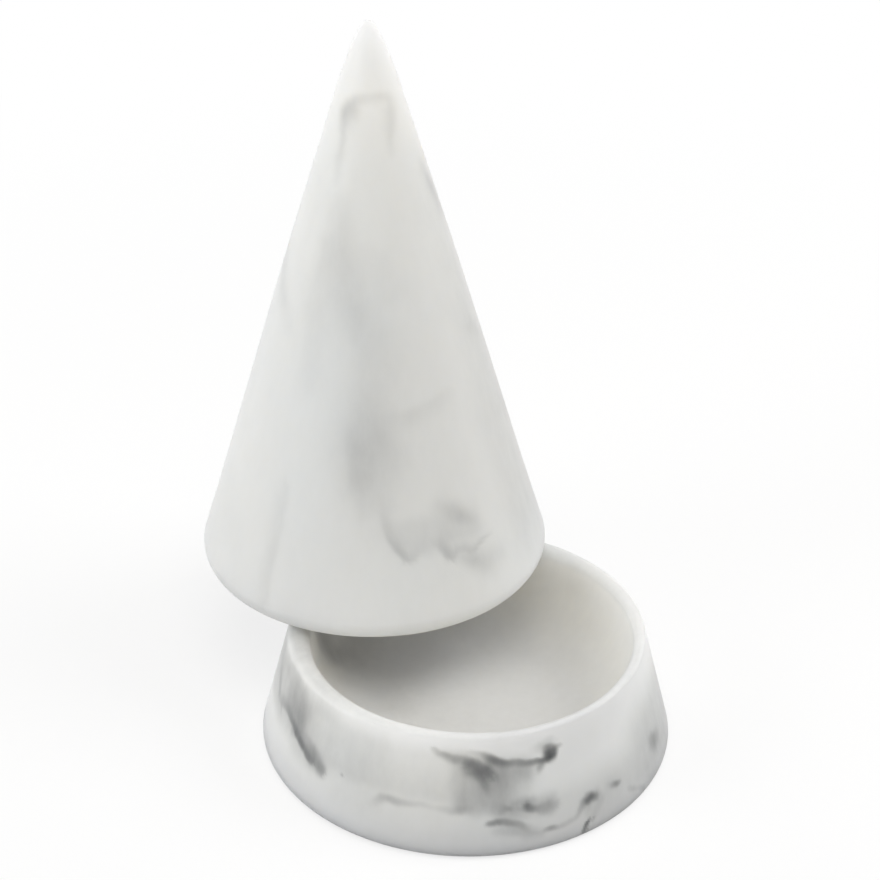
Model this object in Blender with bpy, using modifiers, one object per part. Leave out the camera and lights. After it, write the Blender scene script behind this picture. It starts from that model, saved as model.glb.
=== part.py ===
"""Jewelry cone in two castings: a ring cone that doubles as the lid of a small bowl.

The bowl stands on the origin, on a rubber pad let into its underside. The cone
is parked to one side on the bowl's flat rim, with half of the bowl open, and
slides back over the rim until it stands centred and closes the bowl.
"""

import math

import bpy
from mathutils import Vector

mm = 0.001

# Bowl, outside
BOWL_BASE_RADIUS = 34.85 * mm
BOWL_HEIGHT = 20.0 * mm
BOWL_TAPER = 0.2615             # radius lost for each unit of height
BOWL_FOOT_ROUND = 0.5 * mm
LIP_OUTER_ROUND = 0.5 * mm

# Bowl, inside: the cavity is off centre, so the rim is widest where the cone is parked
RIM_FLAT_WIDE = 2.93 * mm       # level part of the rim, between its two rounds
RIM_FLAT_NARROW = 0.13 * mm
LIP_INNER_ROUND = 0.8 * mm
CAVITY_DRAFT = 9.0              # degrees off vertical
CAVITY_CORNER_ROUND = 12.0 * mm
FLOOR_THICKNESS = 5.0 * mm      # from the underside of the casting to the cavity floor

# Cone
CONE_OVERHANG = 0.30 * mm       # how far the closed cone stands out past the rim
CONE_HEIGHT = 96.0 * mm
CONE_FOOT_ROUND = 2.9 * mm
CONE_TIP_ROUND = 1.1 * mm
LONG_SWELL = 0.8 * mm           # how far the side stands out from a straight line, two thirds up
LONG_SWELL_POWER = 2
TIP_SWELL = 0.5 * mm            # a further swell close to the tip, which makes it blunt
TIP_SWELL_POWER = 14

# Rubber pads, each glued into a shallow recess
BOWL_PAD_INSET = 3.5 * mm       # from the edge of the casting's flat underside
BOWL_PAD_THICKNESS = 1.2 * mm
BOWL_PAD_PROUD = 0.4 * mm       # keeps the casting off the table
CONE_PAD_INSET = 4.4 * mm
CONE_PAD_THICKNESS = 1.0 * mm
PAD_EDGE_ROUND = 0.25 * mm
PAD_SIDE_CLEARANCE = 0.3 * mm
GLUE_GAP = 0.3 * mm

# Where the cone is parked, seen from above, turning from +X towards +Y
PARK_DIRECTION = 123.8          # degrees
BALANCE_MARGIN = 0.33 * mm      # from the cone's axis to the edge of the level rim
RIM_GAP = 0.3 * mm

# Smoothness
TURNED_STEPS = 72
ROUND_POINTS = 6
CONE_FOOT_POINTS = 8
CORNER_POINTS = 10
SIDE_POINTS = 18
SIDE_SPREAD = 1.7               # more than 1 sets the side's points closer near the tip
PAD_EDGE_SEGMENTS = 2
MERGE_DISTANCE = 0.005 * mm
SHARP_ANGLE = 35.0              # degrees

MARBLE_COLOUR = (0.80, 0.80, 0.78, 1.0)
MARBLE_ROUGHNESS = 0.38
RUBBER_COLOUR = (0.045, 0.045, 0.05, 1.0)
RUBBER_ROUGHNESS = 0.9

# Worked out from the sizes above
UNDERSIDE = BOWL_PAD_PROUD
FLOOR = UNDERSIDE + FLOOR_THICKNESS
RIM = UNDERSIDE + BOWL_HEIGHT
BOWL_LEAN = math.atan(BOWL_TAPER)
FOOT_CENTRE = (BOWL_BASE_RADIUS - BOWL_FOOT_ROUND, UNDERSIDE + BOWL_FOOT_ROUND)
LIP_HEIGHT = RIM - LIP_OUTER_ROUND
LIP_CENTRE = (FOOT_CENTRE[0] - BOWL_TAPER * (LIP_HEIGHT - FOOT_CENTRE[1])
              + (BOWL_FOOT_ROUND - LIP_OUTER_ROUND) / math.cos(BOWL_LEAN), LIP_HEIGHT)
MOUTH_RADIUS = LIP_CENTRE[0] - (RIM_FLAT_WIDE + RIM_FLAT_NARROW) / 2.0
CAVITY_SHIFT = (RIM_FLAT_WIDE - RIM_FLAT_NARROW) / 2.0
CONE_BASE_RADIUS = LIP_CENTRE[0] + LIP_OUTER_ROUND + CONE_OVERHANG
BOWL_PAD_RADIUS = FOOT_CENTRE[0] - BOWL_PAD_INSET
CONE_PAD_RADIUS = CONE_BASE_RADIUS - CONE_FOOT_ROUND - CONE_PAD_INSET
PARK_DISTANCE = LIP_CENTRE[0] - BALANCE_MARGIN


def clear_scene():
    for thing in list(bpy.data.objects):
        bpy.data.objects.remove(thing, do_unlink=True)


def make_collection(name):
    collection = bpy.data.collections.new(name)
    bpy.context.scene.collection.children.link(collection)
    return collection


def make_material(name, colour, roughness):
    material = bpy.data.materials.new(name)
    material.use_nodes = True
    shader = material.node_tree.nodes["Principled BSDF"]
    shader.inputs["Base Color"].default_value = colour
    shader.inputs["Roughness"].default_value = roughness
    shader.inputs["Metallic"].default_value = 0.0
    material.diffuse_color = colour
    return material


def arc(centre, radius, start, end, points):
    """Points (radius from the axis, height) on an arc; angles in radians from outwards to up."""
    steps = [start + (end - start) * i / (points - 1) for i in range(points)]
    return [(centre[0] + radius * math.cos(a), centre[1] + radius * math.sin(a)) for a in steps]


def without_repeats(points):
    kept = [points[0]]
    for point in points[1:]:
        if math.dist(point, kept[-1]) > MERGE_DISTANCE:
            kept.append(point)
    return kept


def turn(name, profile, collection, material):
    """A solid turned about Z from a profile that runs down its outer side."""
    mesh = bpy.data.meshes.new(name)
    points = without_repeats(profile)
    edges = [(i, i + 1) for i in range(len(points) - 1)]
    mesh.from_pydata([(r, 0.0, z) for r, z in points], edges, [])
    piece = bpy.data.objects.new(name, mesh)
    collection.objects.link(piece)
    screw = piece.modifiers.new("Turned", "SCREW")
    screw.axis = "Z"
    screw.steps = TURNED_STEPS
    screw.render_steps = TURNED_STEPS
    screw.use_merge_vertices = True
    screw.merge_threshold = MERGE_DISTANCE
    return settle(piece, material)


def settle(piece, material):
    """Applies the modifiers, so that the mesh can be shaded and shaped further."""
    graph = bpy.context.evaluated_depsgraph_get()
    mesh = bpy.data.meshes.new_from_object(piece.evaluated_get(graph))
    piece.modifiers.clear()
    piece.data = mesh
    mesh.materials.clear()
    mesh.materials.append(material)
    mesh.shade_smooth()
    mesh.set_sharp_from_angle(angle=math.radians(SHARP_ANGLE))
    return piece


def recess(radius, depth, underside):
    """The end of a profile: along the underside, up into the pad's recess and in to the axis."""
    wall = radius + PAD_SIDE_CLEARANCE
    return [(wall, underside), (wall, underside + depth), (0.0, underside + depth)]


def bowl_cavity():
    """From the middle of the cavity floor, out and up the wall, to the top of the lip."""
    draft = math.radians(CAVITY_DRAFT)
    roll_centre = (MOUTH_RADIUS, RIM - LIP_INNER_ROUND)
    wall_top = (roll_centre[0] - LIP_INNER_ROUND * math.cos(draft),
                roll_centre[1] - LIP_INNER_ROUND * math.sin(draft))
    # The corner's round ends below the top of the wall, and short of the cavity's axis
    wall_limit = (wall_top[1] - FLOOR) / (1.0 - math.sin(draft))
    floor_limit = wall_top[0] - (wall_top[1] - FLOOR) * math.tan(draft)
    corner_round = min(CAVITY_CORNER_ROUND, wall_limit, floor_limit)
    foot_height = FLOOR + corner_round * (1.0 - math.sin(draft))
    foot_radius = wall_top[0] - (wall_top[1] - foot_height) * math.tan(draft)
    corner = (foot_radius - corner_round * math.cos(draft), FLOOR + corner_round)
    points = [(0.0, FLOOR)]
    points += arc(corner, corner_round, -math.pi / 2, -draft, CORNER_POINTS)
    points += arc(roll_centre, LIP_INNER_ROUND, math.pi + draft, math.pi / 2, ROUND_POINTS)
    return points


def bowl_outside():
    """From the top of the lip, down the tapered side, to the foot's underside."""
    points = arc(LIP_CENTRE, LIP_OUTER_ROUND, math.pi / 2, BOWL_LEAN, ROUND_POINTS)
    points += arc(FOOT_CENTRE, BOWL_FOOT_ROUND, BOWL_LEAN, -math.pi / 2, ROUND_POINTS)
    return points


def shift_cavity(bowl):
    """Moves the cavity away from the parked cone, so that the rim is wider under the cone."""
    away = math.radians(PARK_DIRECTION + 180.0)
    step = Vector((math.cos(away), math.sin(away), 0.0)) * CAVITY_SHIFT
    for vertex in bowl.data.vertices:
        inside = vertex.co.xy.length < MOUTH_RADIUS + MERGE_DISTANCE
        if inside and vertex.co.z > FLOOR - MERGE_DISTANCE:
            vertex.co += step


def make_bowl(collection, material):
    recess_depth = BOWL_PAD_THICKNESS - BOWL_PAD_PROUD + GLUE_GAP
    profile = bowl_cavity() + bowl_outside() + recess(BOWL_PAD_RADIUS, recess_depth, UNDERSIDE)
    bowl = turn("bowl_casting", profile, collection, material)
    shift_cavity(bowl)
    return bowl


def swell_scale(power):
    """Scales up^power (1 - up) to a peak of 1; it is also the steepness at the tip."""
    return (power + 1) ** (power + 1) / power ** power


def cone_swell(up):
    """How far the side stands out, from 0 at the foot to 1 at the tip."""
    long_part = LONG_SWELL * swell_scale(LONG_SWELL_POWER) * up ** LONG_SWELL_POWER
    tip_part = TIP_SWELL * swell_scale(TIP_SWELL_POWER) * up ** TIP_SWELL_POWER
    return (long_part + tip_part) * (1.0 - up)


def cone_side():
    """From the tip, down the swelled side, to the rounded foot."""
    tip_centre = (0.0, CONE_HEIGHT - CONE_TIP_ROUND)
    foot_centre = (CONE_BASE_RADIUS - CONE_FOOT_ROUND, CONE_FOOT_ROUND)
    # The straight side is the tangent that both round ends share
    across = foot_centre[0] - tip_centre[0]
    rise = tip_centre[1] - foot_centre[1]
    between = math.hypot(across, rise)
    lean = math.acos((CONE_TIP_ROUND - CONE_FOOT_ROUND) / between) - math.atan2(rise, across)
    # The swell starts flat at the foot and turns the side inwards at the tip
    tip_turn = LONG_SWELL * swell_scale(LONG_SWELL_POWER) + TIP_SWELL * swell_scale(TIP_SWELL_POWER)
    tip_lean = lean + tip_turn / between
    top = (tip_centre[0] + CONE_TIP_ROUND * math.cos(tip_lean),
           tip_centre[1] + CONE_TIP_ROUND * math.sin(tip_lean))
    foot = (foot_centre[0] + CONE_FOOT_ROUND * math.cos(lean),
            foot_centre[1] + CONE_FOOT_ROUND * math.sin(lean))
    points = arc(tip_centre, CONE_TIP_ROUND, math.pi / 2, tip_lean, ROUND_POINTS)
    for i in range(1, SIDE_POINTS):
        up = 1.0 - (i / SIDE_POINTS) ** SIDE_SPREAD
        radius = foot[0] + (top[0] - foot[0]) * up + cone_swell(up) * math.cos(lean)
        height = foot[1] + (top[1] - foot[1]) * up + cone_swell(up) * math.sin(lean)
        points.append((radius, height))
    return points + arc(foot_centre, CONE_FOOT_ROUND, lean, -math.pi / 2, CONE_FOOT_POINTS)


def make_cone(collection, material):
    profile = cone_side() + recess(CONE_PAD_RADIUS, CONE_PAD_THICKNESS + GLUE_GAP, 0.0)
    return turn("cone_casting", profile, collection, material)


def make_pad(name, radius, thickness, collection, material):
    """A flat disc with its underside at height 0 and a slightly rounded edge."""
    bpy.ops.mesh.primitive_cylinder_add(
        vertices=TURNED_STEPS, radius=radius, depth=thickness,
        location=(0.0, 0.0, thickness / 2.0))
    pad = bpy.context.object
    for owner in list(pad.users_collection):
        owner.objects.unlink(pad)
    collection.objects.link(pad)
    pad.name = name
    pad.data.name = name
    bevel = pad.modifiers.new("Soft edge", "BEVEL")
    bevel.width = PAD_EDGE_ROUND
    bevel.segments = PAD_EDGE_SEGMENTS
    bevel.limit_method = "ANGLE"
    return settle(pad, material)


def park(pieces, collection):
    """Stands the cone's pieces on the rim, carried by an empty on the slide's line."""
    angle = math.radians(PARK_DIRECTION)
    carrier = bpy.data.objects.new("cone_slide_line", None)
    carrier.empty_display_size = CONE_BASE_RADIUS
    carrier.location = (PARK_DISTANCE * math.cos(angle), PARK_DISTANCE * math.sin(angle),
                        RIM + RIM_GAP)
    collection.objects.link(carrier)
    for piece in pieces:
        piece.parent = carrier


def build():
    clear_scene()
    parts = make_collection("jewelry_cone")
    marble = make_material("marble_resin", MARBLE_COLOUR, MARBLE_ROUGHNESS)
    rubber = make_material("rubber_pad", RUBBER_COLOUR, RUBBER_ROUGHNESS)
    make_bowl(parts, marble)
    make_pad("bowl_pad", BOWL_PAD_RADIUS, BOWL_PAD_THICKNESS, parts, rubber)
    cone = make_cone(parts, marble)
    cone_pad = make_pad("cone_pad", CONE_PAD_RADIUS, CONE_PAD_THICKNESS, parts, rubber)
    park([cone, cone_pad], parts)
    bpy.context.view_layer.update()


build()
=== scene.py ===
import math

import bpy
import numpy as np
from mathutils import Matrix, Vector, noise


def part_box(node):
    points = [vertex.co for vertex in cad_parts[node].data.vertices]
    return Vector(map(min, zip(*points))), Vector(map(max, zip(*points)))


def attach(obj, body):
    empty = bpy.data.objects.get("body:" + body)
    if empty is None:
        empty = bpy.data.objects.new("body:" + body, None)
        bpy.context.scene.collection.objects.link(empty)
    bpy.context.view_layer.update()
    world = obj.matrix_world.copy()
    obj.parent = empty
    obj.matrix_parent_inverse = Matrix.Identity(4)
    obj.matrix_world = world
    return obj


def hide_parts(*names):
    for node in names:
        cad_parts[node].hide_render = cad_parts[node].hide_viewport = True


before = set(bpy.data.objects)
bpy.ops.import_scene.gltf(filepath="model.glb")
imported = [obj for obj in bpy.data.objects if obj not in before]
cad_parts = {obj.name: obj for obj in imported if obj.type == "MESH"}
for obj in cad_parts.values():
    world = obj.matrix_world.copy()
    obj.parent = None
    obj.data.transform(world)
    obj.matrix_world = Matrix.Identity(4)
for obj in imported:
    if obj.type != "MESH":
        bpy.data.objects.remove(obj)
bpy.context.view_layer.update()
mm = 0.001
tiny = 0.001    # mm, taken as no distance
print("Packed model loaded:", ", ".join(sorted(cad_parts)))


# The camera, at the photograph's own view
shot = {
    "place": (-4.70, -264.62, 209.13),  # mm
    "tilt": 30.03,                      # degrees below level
    "roll": 0.35,                       # degrees
    "lens": 78.88,                      # mm, on a sensor 36 mm wide
    "sensor": 36.0,
    "clip": (0.005, 20.0),              # m
}


def addCamera(look):
    data = bpy.data.cameras.new("photoCamera")
    data.lens = look["lens"]
    data.sensor_width = look["sensor"]
    data.clip_start, data.clip_end = look["clip"]
    camera = bpy.data.objects.new("photoCamera", data)
    bpy.context.scene.collection.objects.link(camera)
    tilt = Matrix.Rotation(math.radians(90.0 - look["tilt"]), 4, "X")
    roll = Matrix.Rotation(math.radians(look["roll"]), 4, "Z")
    camera.matrix_world = Matrix.Translation(Vector(look["place"]) * mm) @ tilt @ roll
    bpy.context.scene.camera = camera


# Small helpers for node trees
noiseSpan = (0.3, 0.7)      # where most of a noise texture's values lie


def newMaterial(name):
    material = bpy.data.materials.new(name)
    material.use_nodes = True
    nodes = material.node_tree.nodes
    nodes.clear()
    return material, nodes, material.node_tree.links


def mathNode(nodes, links, operation, first, second=None, clamp=False):
    node = nodes.new("ShaderNodeMath")
    node.operation = operation
    node.use_clamp = clamp
    for socket, value in zip(node.inputs, (first, second)):
        if isinstance(value, (int, float)):
            socket.default_value = value
        elif value is not None:
            links.new(value, socket)
    return node.outputs[0]


def noiseNode(nodes, links, where, size, detail, roughness=0.5, distortion=0.0):
    # size is the width of one feature in mm
    node = nodes.new("ShaderNodeTexNoise")
    node.inputs["Scale"].default_value = 1.0 / (size * mm)
    node.inputs["Detail"].default_value = detail
    node.inputs["Roughness"].default_value = roughness
    node.inputs["Distortion"].default_value = distortion
    links.new(where, node.inputs["Vector"])
    return node.outputs["Fac"]


def rangeNode(nodes, links, value, span, result, smooth=False):
    # span and result are (low, high)
    node = nodes.new("ShaderNodeMapRange")
    node.interpolation_type = "SMOOTHSTEP" if smooth else "LINEAR"
    links.new(value, node.inputs["Value"])
    for name, number in zip(("From Min", "From Max", "To Min", "To Max"), (*span, *result)):
        node.inputs[name].default_value = number
    return node.outputs["Result"]


def mixColours(nodes, links, factor, first, second):
    node = nodes.new("ShaderNodeMix")
    node.data_type = "RGBA"
    for socket, value in ((node.inputs["Factor"], factor), (node.inputs["A"], first),
                          (node.inputs["B"], second)):
        if isinstance(value, tuple):
            socket.default_value = value
        else:
            links.new(value, socket)
    return node.outputs["Result"]


def greyShader(nodes, kind, grey, strength=None):
    node = nodes.new(kind)
    node.inputs["Color"].default_value = (grey, grey, grey, 1.0)
    if strength is not None:
        node.inputs["Strength"].default_value = strength
    return node.outputs[0]


def mixShaders(nodes, links, factor, first, second):
    node = nodes.new("ShaderNodeMixShader")
    for socket, value in zip(node.inputs, (factor, first, second)):
        links.new(value, socket)
    return node.outputs[0]


def addBump(nodes, links, shader, height, strength, depth):
    # depth in mm
    bump = nodes.new("ShaderNodeBump")
    bump.inputs["Strength"].default_value = strength
    bump.inputs["Distance"].default_value = depth * mm
    links.new(height, bump.inputs["Height"])
    links.new(bump.outputs["Normal"], shader.inputs["Normal"])


# Marble-effect cast resin: white body, grey ink painted along the veins, and painted shade and painted
# light laid in the same layer
marble = {
    "white": (0.925, 0.925, 0.90, 1.0),
    "cool": (0.895, 0.915, 0.915, 1.0),
    "coolShare": 0.5,           # how far the coolest patches go to that colour
    "patchSize": 34.0,          # mm
    "patchSpan": (0.42, 0.62),  # noise values where a patch starts and is full
    "warm": (0.925, 0.915, 0.88, 1.0),
    "inkAndShade": (0.056, 0.060, 0.067, 1.0),
    "cloudSize": 26.0,          # mm
    "cloudSpan": (0.48, 0.72),
    "cloudInk": 0.06,
    "grainSize": 2.0,           # mm
    "grainTall": 0.35,          # below 1 the grain is drawn out upwards
    "grainDepth": 0.12,
    "roughness": (0.42, 0.54),
    "satinSize": 4.0,           # mm
    "sheen": 0.35,
    "ior": 1.5,
    "poreSize": 0.45,           # mm
    "poreStrength": 0.25,
    "poreDepth": 0.02,          # mm
    "glow": 1.0,                # how much of the light soaks into the resin
    "soak": (8.2, 8.0, 7.6),    # mm that red, green and blue light travel in it
}


def marbleMaterial(name, look):
    material, nodes, links = newMaterial(name)
    where = nodes.new("ShaderNodeTexCoord").outputs["Object"]
    inkAndShade = nodes.new("ShaderNodeAttribute")
    inkAndShade.attribute_name = "inkAndShade"
    # Grain, drawn out upwards, breaks up the painted ink and painted shade, and wide clouds add a little
    # all over
    tall = nodes.new("ShaderNodeMapping")
    tall.inputs["Scale"].default_value = (1.0, 1.0, look["grainTall"])
    links.new(where, tall.inputs["Vector"])
    grain = noiseNode(nodes, links, tall.outputs["Vector"], look["grainSize"], 5.0, 0.6)
    broken = rangeNode(nodes, links, grain, noiseSpan, (1.0 - look["grainDepth"], 1.0 + look["grainDepth"]))
    painted = mathNode(nodes, links, "MULTIPLY", inkAndShade.outputs["Fac"], broken)
    cloud = noiseNode(nodes, links, tall.outputs["Vector"], look["cloudSize"], 3.0, 0.55, 0.6)
    haze = rangeNode(nodes, links, cloud, look["cloudSpan"], (0.0, look["cloudInk"]), smooth=True)
    density = mathNode(nodes, links, "ADD", painted, haze)
    # Layers of ink darken as layers of tinted glass do
    thinned = mathNode(nodes, links, "MULTIPLY", density, -1.0)
    kept = mathNode(nodes, links, "EXPONENT", thinned)
    cover = mathNode(nodes, links, "SUBTRACT", 1.0, kept, clamp=True)
    patch = noiseNode(nodes, links, where, look["patchSize"], 1.0)
    coolness = rangeNode(nodes, links, patch, look["patchSpan"], (0.0, look["coolShare"]), smooth=True)
    cooled = mixColours(nodes, links, coolness, look["white"], look["cool"])
    # the warm layer: painted warm reflection in the bowl's cavity, and the cone's warmer tip
    warm = nodes.new("ShaderNodeAttribute")
    warm.attribute_name = "warm"
    body = mixColours(nodes, links, warm.outputs["Fac"], cooled, look["warm"])
    colour = mixColours(nodes, links, cover, body, look["inkAndShade"])
    shader = nodes.new("ShaderNodeBsdfPrincipled")
    links.new(colour, shader.inputs["Base Color"])
    shader.inputs["IOR"].default_value = look["ior"]
    shader.inputs["Specular IOR Level"].default_value = look["sheen"]
    shader.inputs["Subsurface Weight"].default_value = look["glow"]
    shader.inputs["Subsurface Radius"].default_value = look["soak"]
    shader.inputs["Subsurface Scale"].default_value = mm
    satin = noiseNode(nodes, links, where, look["satinSize"], 3.0)
    links.new(rangeNode(nodes, links, satin, noiseSpan, look["roughness"]), shader.inputs["Roughness"])
    pores = noiseNode(nodes, links, where, look["poreSize"], 3.0, 0.6)
    addBump(nodes, links, shader, pores, look["poreStrength"], look["poreDepth"])
    output = nodes.new("ShaderNodeOutputMaterial")
    links.new(shader.outputs["BSDF"], output.inputs["Surface"])
    return material


# Matt black rubber
rubber = {
    "colour": (0.045, 0.045, 0.05, 1.0),
    "worn": (0.09, 0.09, 0.092, 1.0),
    "wornSize": 9.0,            # mm
    "wornSpan": (0.4, 0.75),    # noise values where a worn patch starts and is full
    "wornShare": 0.7,
    "roughness": (0.72, 0.92),
    "grainSize": 0.6,           # mm
    "grainStrength": 0.6,
    "grainDepth": 0.08,         # mm
}


def rubberMaterial(name, look):
    material, nodes, links = newMaterial(name)
    where = nodes.new("ShaderNodeTexCoord").outputs["Object"]
    grain = noiseNode(nodes, links, where, look["grainSize"], 6.0, 0.7)
    patches = noiseNode(nodes, links, where, look["wornSize"], 4.0, 0.6)
    wear = rangeNode(nodes, links, patches, look["wornSpan"], (0.0, look["wornShare"]))
    shader = nodes.new("ShaderNodeBsdfPrincipled")
    links.new(mixColours(nodes, links, wear, look["colour"], look["worn"]), shader.inputs["Base Color"])
    links.new(rangeNode(nodes, links, grain, noiseSpan, look["roughness"]), shader.inputs["Roughness"])
    addBump(nodes, links, shader, grain, look["grainStrength"], look["grainDepth"])
    output = nodes.new("ShaderNodeOutputMaterial")
    links.new(shader.outputs["BSDF"], output.inputs["Surface"])
    return material


# Outlines are lists of (distance from the axis, height) in mm, from the axis on top to the axis below
fewestSteps = 6     # in an arc
sharpAngle = 35.0   # degrees, from which an edge is shaded as a sharp one


def arc(centre, radius, start, end, spacing):
    # angles in degrees, from outwards to up
    length = abs(math.radians(end - start)) * radius
    count = max(fewestSteps, math.ceil(length / spacing))
    angles = [math.radians(start + (end - start) * i / count) for i in range(count + 1)]
    return [(centre[0] + radius * math.cos(a), centre[1] + radius * math.sin(a)) for a in angles]


def filled(outline, spacing):
    # more points along the straight runs
    points = [outline[0]]
    for point in outline[1:]:
        start = points[-1]
        gap = math.dist(start, point)
        if gap < tiny:
            continue
        count = max(1, math.ceil(gap / spacing))
        for i in range(1, count + 1):
            points.append((start[0] + (point[0] - start[0]) * i / count,
                           start[1] + (point[1] - start[1]) * i / count))
    return points


def turned(name, outline, around, material, offset):
    # spins an outline round; offset(point) says how far, in mm, a point's ring stands off the axis
    mesh = bpy.data.meshes.new(name)
    turns = [2.0 * math.pi * j / around for j in range(around)]
    circle = [(math.cos(a), math.sin(a)) for a in turns]
    rings, places, faces = [], [], []
    for radius, height in outline:
        dx, dy = offset((radius, height))
        steps = circle if radius > tiny else [(0.0, 0.0)]
        rings.append(range(len(places), len(places) + len(steps)))
        places += [((dx + radius * x) * mm, (dy + radius * y) * mm, height * mm) for x, y in steps]
    for upper, lower in zip(rings, rings[1:]):
        for j in range(around):
            k = (j + 1) % around
            if len(upper) == 1:
                faces.append((upper[0], lower[j], lower[k]))
            elif len(lower) == 1:
                faces.append((upper[j], lower[0], upper[k]))
            else:
                faces.append((upper[j], lower[j], lower[k], upper[k]))
    mesh.from_pydata(places, [], faces)
    mesh.materials.append(material)
    mesh.shade_smooth()
    mesh.set_sharp_from_angle(angle=math.radians(sharpAngle))
    piece = bpy.data.objects.new(name, mesh)
    bpy.context.scene.collection.objects.link(piece)
    return piece


# Veins are drawn on the unrolled side of a casting. A stroke is a path of (angle, height, width,
# ink): degrees round the piece from +X, mm above its foot, mm from the middle of the stroke to
# where it fades, and how much ink lies there. "sides" stretches the width to the left and right.
# A wash is (angle from, angle to, bottom, top, soft edges across and up in mm, ink low and high).
# Some washes are painted shade, and a wash whose ink is below zero is painted light.
overlap = 1.5       # above 1, the darker of two strokes counts for more where they overlap
stirSeed = 5        # picks the swirls in the ink; 0 would take the clock's time, new in each run
noise.seed_set(stirSeed)


def warped(places, size, amount):
    # carries the points about, as the ink was stirred
    return np.array([tuple(noise.noise_vector(Vector(p) / size)) for p in places]) * amount


def placesOf(piece):
    # where the vertices are, in mm
    places = np.empty(len(piece.data.vertices) * 3)
    piece.data.vertices.foreach_get("co", places)
    return places.reshape(-1, 3) / mm


def unrolled(piece, axis, foot, stir, chosen):
    # angle, height and distance from the axis of the chosen vertices, after stirring
    where = placesOf(piece)[chosen] - np.array([axis[0], axis[1], foot])
    for size, amount in stir:
        where = where + warped(where, size, amount)
    turn = np.degrees(np.arctan2(where[:, 1], where[:, 0])) % 360.0
    return turn, where[:, 2], np.hypot(where[:, 0], where[:, 1]), where


def strokeInk(turn, height, radius, stroke, brush):
    left, right = stroke.get("sides", (1.0, 1.0))
    points = stroke["path"]
    best = np.full(len(turn), np.inf)
    inkAndShade = np.zeros(len(turn))
    scale = math.pi / 180.0 * radius
    for (a0, h0, w0, i0), (a1, h1, w1, i1) in zip(points, points[1:]):
        x0 = ((a0 - turn + 180.0) % 360.0 - 180.0) * scale
        x1 = x0 + (a1 - a0) * scale
        y0, y1 = h0 - height, h1 - height
        dx, dy = x1 - x0, y1 - y0
        t = np.clip(-(x0 * dx + y0 * dy) / np.maximum(dx * dx + dy * dy, tiny ** 2), 0.0, 1.0)
        px, py = x0 + t * dx, y0 + t * dy
        width = brush["wide"] * (w0 + (w1 - w0) * t) * np.where(dy * px - dx * py > 0.0, left, right)
        away = np.hypot(px, py) / width
        nearer = away < best
        best = np.where(nearer, away, best)
        inkAndShade = np.where(nearer, (i0 + (i1 - i0) * t) * np.exp(-away ** brush["edge"]), inkAndShade)
    return inkAndShade


def ramp(value, low, high):
    t = np.clip((value - low) / (high - low), 0.0, 1.0)
    return t * t * (3.0 - 2.0 * t)


def washInkShadeAndLight(turn, height, radius, wash):
    start, end, bottom, top, across, up, low, high = wash
    middle, half = (start + end) / 2.0, (end - start) / 2.0
    inside = (half - np.abs((turn - middle + 180.0) % 360.0 - 180.0)) * math.pi / 180.0 * radius
    share = np.clip((height - bottom) / (top - bottom), 0.0, 1.0)
    level = low + (high - low) * share
    return (level * ramp(inside, -across, across) * ramp(height, bottom - up, bottom + up)
            * ramp(top - height, -up, up))


def sideInkAndShade(turn, height, radius, strokes, washes, brush):
    total = np.zeros(len(turn))
    for stroke in strokes:
        total += strokeInk(turn, height, radius, stroke, brush) ** overlap
    for wash in washes:
        total += washInkShadeAndLight(turn, height, radius, wash) ** overlap
    return total ** (1.0 / overlap)


def echoed(strokes, washes, turn, mirrored, lift, strength):
    # the same hand at work on the far side: turned round the axis, mirrored, raised and paler
    way = -1.0 if mirrored else 1.0
    moved = []
    for stroke in strokes:
        left, right = stroke.get("sides", (1.0, 1.0))
        moved.append({"sides": (right, left) if mirrored else (left, right),
                      "path": [(turn + way * a, h + lift, w, i * strength)
                               for a, h, w, i in stroke["path"]]})
    spread = []
    for start, end, bottom, top, across, up, low, high in washes:
        edges = sorted((turn + way * start, turn + way * end))
        spread.append((edges[0], edges[1], bottom + lift, top + lift, across, up,
                       low * strength, high * strength))
    return moved, spread


def savePaint(piece, name, values):
    layer = piece.data.attributes.new(name, "FLOAT", "POINT")
    layer.data.foreach_set("value", values.astype(np.float32))


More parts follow.
